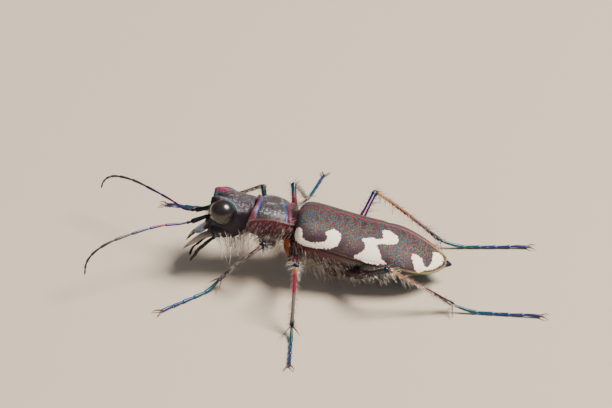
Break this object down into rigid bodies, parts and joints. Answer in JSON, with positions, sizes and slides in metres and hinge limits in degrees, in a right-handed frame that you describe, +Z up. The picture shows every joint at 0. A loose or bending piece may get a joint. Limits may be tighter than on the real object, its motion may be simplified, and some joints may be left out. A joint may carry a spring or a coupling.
{
  "type": "tiger beetle model",
  "caption": "Still, life-size model of a dune tiger beetle standing on all its legs, with cream-marked coppery wing cases, long feelers and sickle jaws.",
  "frame": {"origin": "on the floor, under the middle of the whole animal, feelers and feet included", "axes": "+X to the head, +Y to the beetle's left, +Z up"},
  "size_m": [0.0264, 0.0214, 0.0051],
  "materials": {
    "head": "dark purplish bronze cuticle with a metallic gloss",
    "eye": "smooth, glossy, dark grey-brown",
    "labrum": "pale grey-white, satin",
    "mandible": "cream base and black tip, glossy",
    "palp": "black with a green metallic sheen",
    "antenna_base": "dark metallic blue and violet",
    "antenna": "dull grey-black, finely downy",
    "pronotum": "granulate copper brown with blue furrows",
    "underside": "dark maroon cuticle with white bristles",
    "abdomen": "dark metallic blue",
    "elytron": "copper brown with coloured pits and cream marks, satin",
    "coxa": "orange brown, glossy",
    "femur": "metallic purple and burgundy",
    "tibia": "pale orange at the base to metallic red",
    "tarsus": "metallic teal to blue-violet"
  },
  "bodies": {
    "root": {"head": "head", "labrum": "labrum", "pronotum": "pronotum", "thorax": "underside", "abdomen": "abdomen", "eye_left": "eye", "mandible_left": "mandible", "maxillary_palp_left": "palp", "labial_palp_left": "palp", "elytron_left": "elytron", "antenna_left_base": "antenna_base", "antenna_left_middle": "antenna", "antenna_left_tip": "antenna", "coxa_fore_left": "coxa", "femur_fore_left": "femur", "tibia_fore_left": "tibia", "tarsus_fore_left": "tarsus", "coxa_mid_left": "coxa", "femur_mid_left": "femur", "tibia_mid_left": "tibia", "tarsus_mid_left": "tarsus", "coxa_hind_left": "coxa", "femur_hind_left": "femur", "tibia_hind_left": "tibia", "tarsus_hind_left": "tarsus", "eye_right": "eye", "mandible_right": "mandible", "maxillary_palp_right": "palp", "labial_palp_right": "palp", "elytron_right": "elytron", "antenna_right_base": "antenna_base", "antenna_right_middle": "antenna", "antenna_right_tip": "antenna", "coxa_fore_right": "coxa", "femur_fore_right": "femur", "tibia_fore_right": "tibia", "tarsus_fore_right": "tarsus", "coxa_mid_right": "coxa", "femur_mid_right": "femur", "tibia_mid_right": "tibia", "tarsus_mid_right": "tarsus", "coxa_hind_right": "coxa", "femur_hind_right": "femur", "tibia_hind_right": "tibia", "tarsus_hind_right": "tarsus"}
  },
  "joints": []
}
